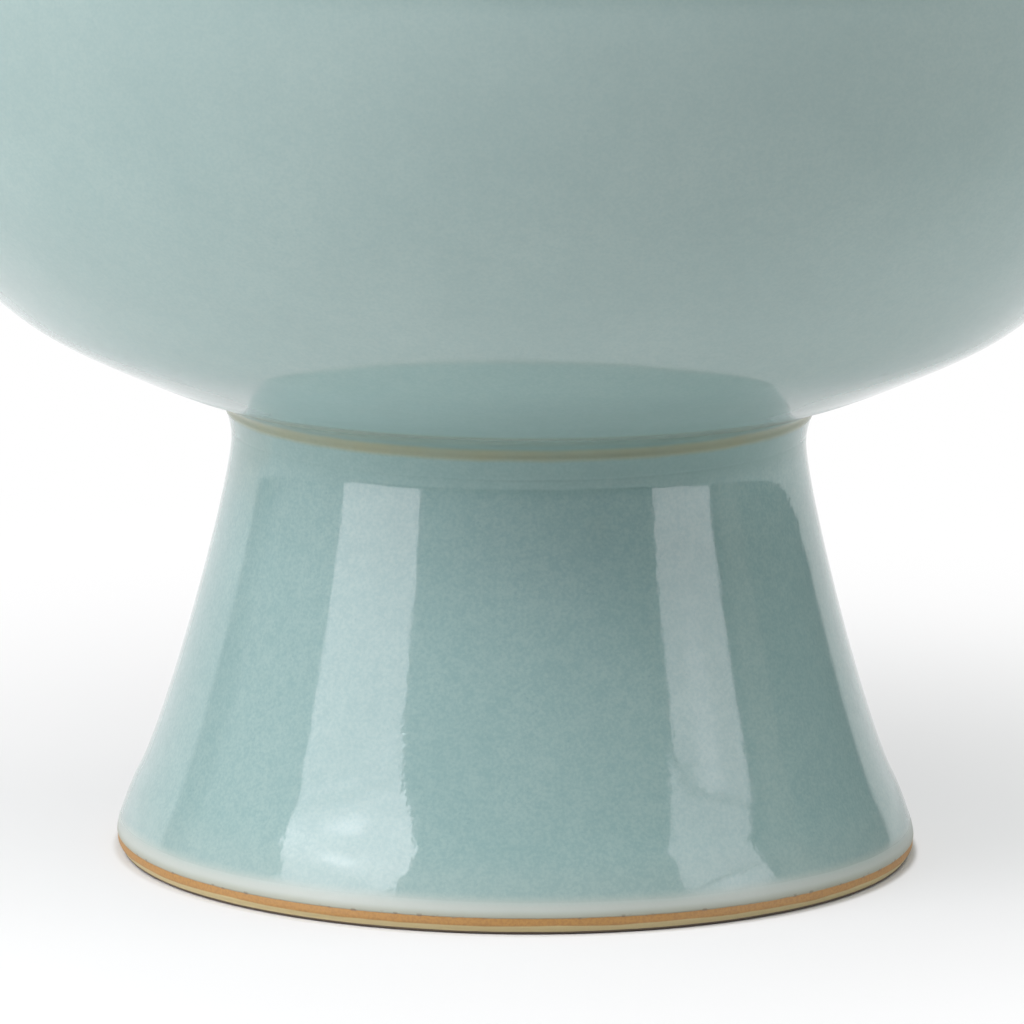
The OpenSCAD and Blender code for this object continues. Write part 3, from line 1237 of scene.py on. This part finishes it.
# Painted shade: the paper near the vase is darker.
floor_painted_shade = (0.74, 0.74, 0.74, 1)
floor_fibre = (0.72, 0.72, 0.72, 1)
floor_z = -0.00005
white_from = 0.2
white_fade = 0.1
glow_beside = 0.6
contact_gap = 1.1
backdrop_from = 0.67
backdrop_lean = 0.13
table_below = -0.16
room_grey = 0.05
room_mirrored = 0.042


def ends_in_mix(tree, output, share, first, second):
    """Ends a tree in a mix of two shaders."""
    both = tree.nodes.new("ShaderNodeMixShader")
    for place, value in enumerate((share, first, second)):
        tree.links.new(value, both.inputs[place])
    tree.links.new(both.outputs["Shader"], tree.nodes.new(output).inputs["Surface"])


def rays(tree):
    """Whether the camera looks at a place, and whether a mirror or clear piece does."""
    ray = tree.nodes.new("ShaderNodeLightPath").outputs
    mirrored = sums(tree, "MAXIMUM", ray["Is Glossy Ray"], ray["Is Transmission Ray"])
    return ray["Is Camera Ray"], mirrored


floor_mesh = bpy.data.meshes.new("table_top")
floor_mesh.from_pydata(
    [(-floor_reach, -floor_front, floor_z), (floor_reach, -floor_front, floor_z),
     (floor_reach, floor_reach, floor_z), (-floor_reach, floor_reach, floor_z)],
    [],
    [(0, 1, 2, 3)],
)
floor = bpy.data.objects.new("table_top", floor_mesh)
bpy.context.scene.collection.objects.link(floor)
paper = bpy.data.materials.new("white_paper")
tree = emptied(paper)
place = tree.nodes.new("ShaderNodeTexCoord").outputs["Object"]
distance = length_of(tree, place)
far = above(tree, place, distance, white_from, white_fade)
beside = above(tree, place, distance, (standing_r + contact_gap) * MM, 0.0006)
glowing = sums(tree, "ADD", glow_beside, times(tree, far, 1.0 - glow_beside))
whiteness = times(tree, beside, glowing)
fibres = put(tree, "ShaderNodeTexNoise", inputs={"Vector": place, "Scale": 900.0, "Detail": 2.0})
# Painted shade: the paper is darker near the vase.
paper_tone_with_shade = blended(tree, far, floor_painted_shade, floor_white)
sheet = blended(tree, times(tree, fibres, 0.06), paper_tone_with_shade, floor_fibre)
matt = tree.nodes.new("ShaderNodeBsdfPrincipled")
matt.inputs["Roughness"].default_value = 0.85
tree.links.new(sheet, matt.inputs["Base Color"])
glow = tree.nodes.new("ShaderNodeEmission")
glow.inputs["Strength"].default_value = 1.0
camera_ray, mirror_ray = rays(tree)
seen = times(tree, sums(tree, "MAXIMUM", camera_ray, mirror_ray), whiteness)
ends_in_mix(
    tree, "ShaderNodeOutputMaterial", seen, matt.outputs["BSDF"], glow.outputs["Emission"]
)
floor_mesh.materials.append(paper)

room = bpy.data.worlds.new("studio")
tree = emptied(room)
direction = tree.nodes.new("ShaderNodeTexCoord").outputs["Generated"]
axes = parts(tree, direction)
leaning = sums(tree, "SUBTRACT", axes["Y"], times(tree, axes["X"], backdrop_lean))
behind = above(tree, direction, leaning, backdrop_from, 0.03)
table_beyond = below(tree, direction, axes["Z"], table_below, 0.04)
white = sums(tree, "MAXIMUM", behind, table_beyond)
camera_ray, mirror_ray = rays(tree)
backdrop_seen = sums(tree, "MAXIMUM", camera_ray, times(tree, white, mirror_ray))
room_light = tree.nodes.new("ShaderNodeBackground")
room_light.inputs["Color"].default_value = (0.92, 0.97, 1.0, 1)
strength = sums(tree, "ADD", room_grey, times(tree, mirror_ray, room_mirrored))
tree.links.new(strength, room_light.inputs["Strength"])
backdrop = tree.nodes.new("ShaderNodeBackground")
backdrop.inputs["Color"].default_value = (1, 1, 1, 1)
backdrop.inputs["Strength"].default_value = 1.0
ends_in_mix(
    tree,
    "ShaderNodeOutputWorld",
    backdrop_seen,
    room_light.outputs["Background"],
    backdrop.outputs["Background"],
)
bpy.context.scene.world = room


# ==== Lamps ====
# A tall softbox stands on each side of the camera, made of panels and brightest at its flash.
# Unmirrored soft lamps fill the sides and the top, and dim boards close the sides.


def softbox(name, azimuth, distance, width, height, middle_z, radiance, colour=(1, 1, 1),
            mirrored=True, tilt=0.0, lights=True):
    """A soft lamp turned to the vase. Azimuth 0 is in front, positive to the right, and tilt
    turns it down."""
    lamp = bpy.data.lights.new(name, "AREA")
    lamp.shape = "RECTANGLE"
    lamp.size = width
    lamp.size_y = height
    lamp.energy = radiance * width * height * math.pi
    lamp.color = colour
    turn = math.radians(azimuth)
    stand = Matrix.Translation((distance * math.sin(turn), -distance * math.cos(turn), middle_z))
    facing = Matrix.Rotation(turn, 4, "Z") @ Matrix.Rotation(math.radians(90 - tilt), 4, "X")
    placed = bpy.data.objects.new(name, lamp)
    placed.matrix_world = stand @ facing
    placed.visible_camera = False
    placed.visible_glossy = mirrored
    placed.visible_diffuse = lights
    bpy.context.scene.collection.objects.link(placed)
    return lamp


def flash_behind(lamp, across, up, reach_across, reach_up, strength, rise=0.0):
    """Makes a softbox brighter round its flash, and by a share that rises over its lower part."""
    tree = emptied(lamp)
    on_cloth = tree.nodes.new("ShaderNodeNewGeometry").outputs["Parametric"]
    offset = put(
        tree,
        "ShaderNodeVectorMath",
        {"operation": "SUBTRACT"},
        {0: on_cloth, 1: (across, up, 0.0)},
    )
    in_reaches = put(
        tree,
        "ShaderNodeVectorMath",
        {"operation": "MULTIPLY"},
        {0: offset, 1: (lamp.size / reach_across, lamp.size_y / reach_up, 0.0)},
    )
    spot = put(
        tree,
        "ShaderNodeMapRange",
        {"interpolation_type": "SMOOTHERSTEP"},
        {"Value": length_of(tree, in_reaches), "From Min": 0.0, "From Max": 1.0,
         "To Min": strength, "To Max": 0.0},
    )
    upper = put(
        tree,
        "ShaderNodeMapRange",
        {"interpolation_type": "SMOOTHSTEP"},
        {"Value": parts(tree, on_cloth)["Y"], "From Min": 0.04, "From Max": 0.5,
         "To Min": 1.0, "To Max": 1.0 + rise},
    )
    shine = put(tree, "ShaderNodeEmission", inputs={"Strength": sums(tree, "ADD", upper, spot)})
    out = tree.nodes.new("ShaderNodeOutputLight")
    tree.links.new(shine, out.inputs["Surface"])


# Each lamp: name, azimuth, distance, width, height, middle height, radiance, in metres.
flash_white = (1.0, 0.955, 1.0)
softbox("softbox_left", -55.5, 2.0, 1.22, 0.89, 0.325, 3.7, flash_white)
leaning = softbox("softbox_leaning", -55.5, 1.735, 1.22, 0.54, 0.793, 3.2, flash_white, tilt=82)
flash_behind(leaning, 0.5, 0.74, 0.36, 0.19, 1.0, 0.6)
softbox("softbox_upper", -55.5, 1.47, 1.22, 0.8, 1.225, 5.4, flash_white)
right = softbox("softbox_right", 66.9, 2.0, 0.94, 0.84, 0.31, 3.0, flash_white, lights=False)
softbox("softbox_upper_right", 65, 1.95, 0.97, 1.2, 1.33, 2.8, flash_white, lights=False)
flash_behind(right, 0.47, 0.9, 0.3, 0.3, 0.35)
softbox("fill_left", -80, 1.8, 1.0, 1.0, 0.5, 1.6, mirrored=False)
softbox("fill_right", 95, 1.8, 1.0, 1.0, 0.5, 4.0, mirrored=False)
softbox("top_left", -40, 1.0, 1.0, 0.8, 1.5, 3.3, mirrored=False, tilt=55)
softbox("top_right", 20, 1.0, 1.0, 0.8, 1.5, 4.7, mirrored=False, tilt=55)
softbox("overhead", -110, 0.3, 1.5, 1.5, 1.65, 2.3, tilt=90)
softbox("board_left", -92, 2.0, 1.3, 2.0, 0.9, 0.35)
softbox("board_right", 90, 2.0, 0.42, 1.4, 0.6, 0.35, (1.0, 0.85, 0.7))


# ==== Camera ====
# A long lens far in front, a little above the foot's height, close on the foot and the
# underside of the belly.

lens_mm = 316.9
camera_back = 1.3198
camera_z = 0.2984
camera_pitch = 10.63
camera_yaw = 0.04
camera_roll = 0.5
lens = bpy.data.cameras.new("camera")
lens.lens = lens_mm
lens.sensor_width = 36.0
lens.clip_start = 0.05
lens.clip_end = 20.0
camera = bpy.data.objects.new("camera", lens)
camera.matrix_world = (
    Matrix.Translation((0, -camera_back, camera_z))
    @ Matrix.Rotation(math.radians(camera_yaw), 4, "Z")
    @ Matrix.Rotation(math.radians(90 - camera_pitch), 4, "X")
    @ Matrix.Rotation(math.radians(camera_roll), 4, "Z")
)
bpy.context.scene.collection.objects.link(camera)
bpy.context.scene.camera = camera
bpy.context.scene.view_settings.view_transform = "Standard"
